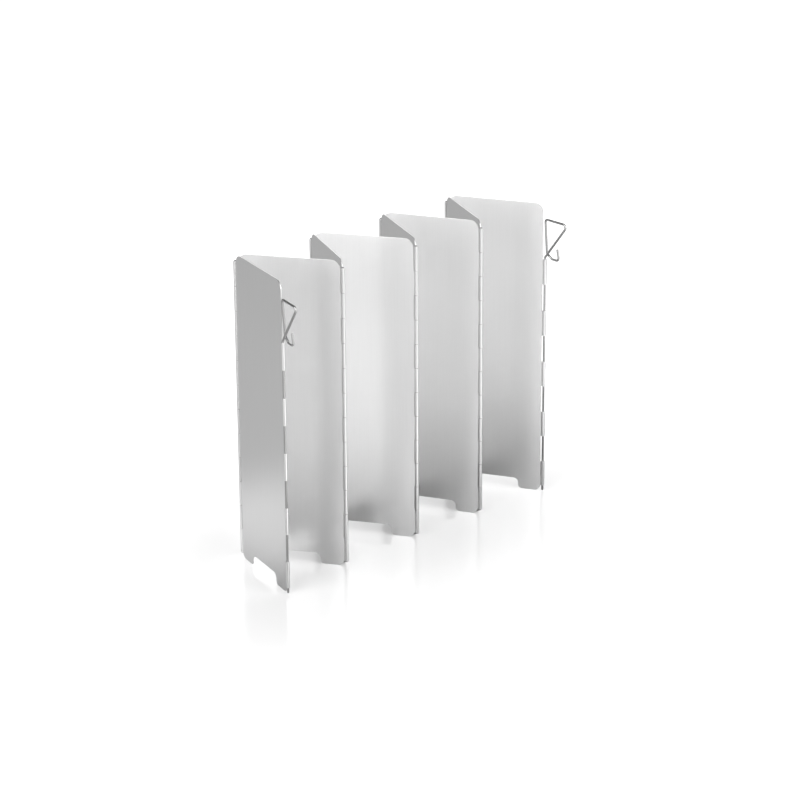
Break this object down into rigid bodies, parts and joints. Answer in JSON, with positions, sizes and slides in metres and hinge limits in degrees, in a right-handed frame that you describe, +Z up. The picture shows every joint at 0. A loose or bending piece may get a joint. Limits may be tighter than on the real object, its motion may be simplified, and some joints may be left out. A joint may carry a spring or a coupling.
{
  "type": "stove windscreen",
  "caption": "Folding camp stove windscreen: thin aluminium plates in a zigzag on wire-pinned knuckle hinges, with a vent cut-out under each plate and a wire stake at each end.",
  "frame": {"origin": "centre of the set-up screen's box, on the ground", "axes": "+Z up, +X along the row from the left stake to the right stake, +Y from the stakes' side to the back of the row"},
  "size_m": [0.2984, 0.1034, 0.24],
  "materials": {
    "sheet": "satin rolled sheet",
    "wire": "drawn wire"
  },
  "bodies": {
    "plate_1": {"plate_1": "sheet", "hinge_pin_1": "wire"},
    "plate_2": {"plate_2": "sheet", "hinge_pin_2": "wire"},
    "plate_3": {"plate_3": "sheet", "hinge_pin_3": "wire"},
    "plate_4": {"plate_4": "sheet", "hinge_pin_4": "wire"},
    "plate_5": {"plate_5": "sheet", "hinge_pin_5": "wire"},
    "plate_6": {"plate_6": "sheet", "hinge_pin_6": "wire"},
    "plate_7": {"plate_7": "sheet", "hinge_pin_7": "wire"},
    "plate_8": {"plate_8": "sheet"},
    "left_stake": {"stake_shank_left": "wire"},
    "left_handle": {"stake_handle_left": "wire"},
    "right_stake": {"stake_shank_right": "wire"},
    "right_handle": {"stake_handle_right": "wire"}
  },
  "joints": [
    {"name": "hinge_1_fold", "type": "hinge", "parent": "plate_2", "child": "plate_1", "pos_m": [-0.11276, 0.04907, 0.12], "axis": [0, 0, -1], "range_deg": [-45, 176]},
    {"name": "hinge_2_fold", "type": "hinge", "parent": "plate_3", "child": "plate_2", "pos_m": [-0.07231, -0.02226, 0.12], "axis": [0, 0, 1], "range_deg": [-54, 147]},
    {"name": "hinge_3_fold", "type": "hinge", "parent": "plate_4", "child": "plate_3", "pos_m": [-0.03325, 0.04985, 0.12], "axis": [0, 0, -1], "range_deg": [-52.5, 168.5]},
    {"name": "hinge_4_fold", "type": "hinge", "parent": "plate_4", "child": "plate_5", "pos_m": [0.00532, -0.02252, 0.12], "axis": [0, 0, -1], "range_deg": [-51.5, 149.5]},
    {"name": "hinge_5_fold", "type": "hinge", "parent": "plate_5", "child": "plate_6", "pos_m": [0.04311, 0.05026, 0.12], "axis": [0, 0, 1], "range_deg": [-46.5, 174.5]},
    {"name": "hinge_6_fold", "type": "hinge", "parent": "plate_6", "child": "plate_7", "pos_m": [0.07522, -0.02519, 0.12], "axis": [0, 0, -1], "range_deg": [-47.5, 153.5]},
    {"name": "hinge_7_fold", "type": "hinge", "parent": "plate_7", "child": "plate_8", "pos_m": [0.11428, 0.04691, 0.12], "axis": [0, 0, 1], "range_deg": [-48, 173]},
    {"name": "left_stake_slide", "type": "slide", "parent": "plate_1", "child": "left_stake", "axis": [0, 0, 1], "range_m": [0, 0.2]},
    {"name": "left_handle_turn", "type": "hinge", "parent": "left_stake", "child": "left_handle", "pos_m": [-0.14005, -0.02825, 0.195], "axis": [0, 0, 1], "range_deg": [-140, 20]},
    {"name": "right_stake_slide", "type": "slide", "parent": "plate_8", "child": "right_stake", "axis": [0, 0, 1], "range_m": [0, 0.2]},
    {"name": "right_handle_turn", "type": "hinge", "parent": "right_stake", "child": "right_handle", "pos_m": [0.14705, -0.02825, 0.195], "axis": [0, 0, -1], "range_deg": [-80, 85]}
  ]
}
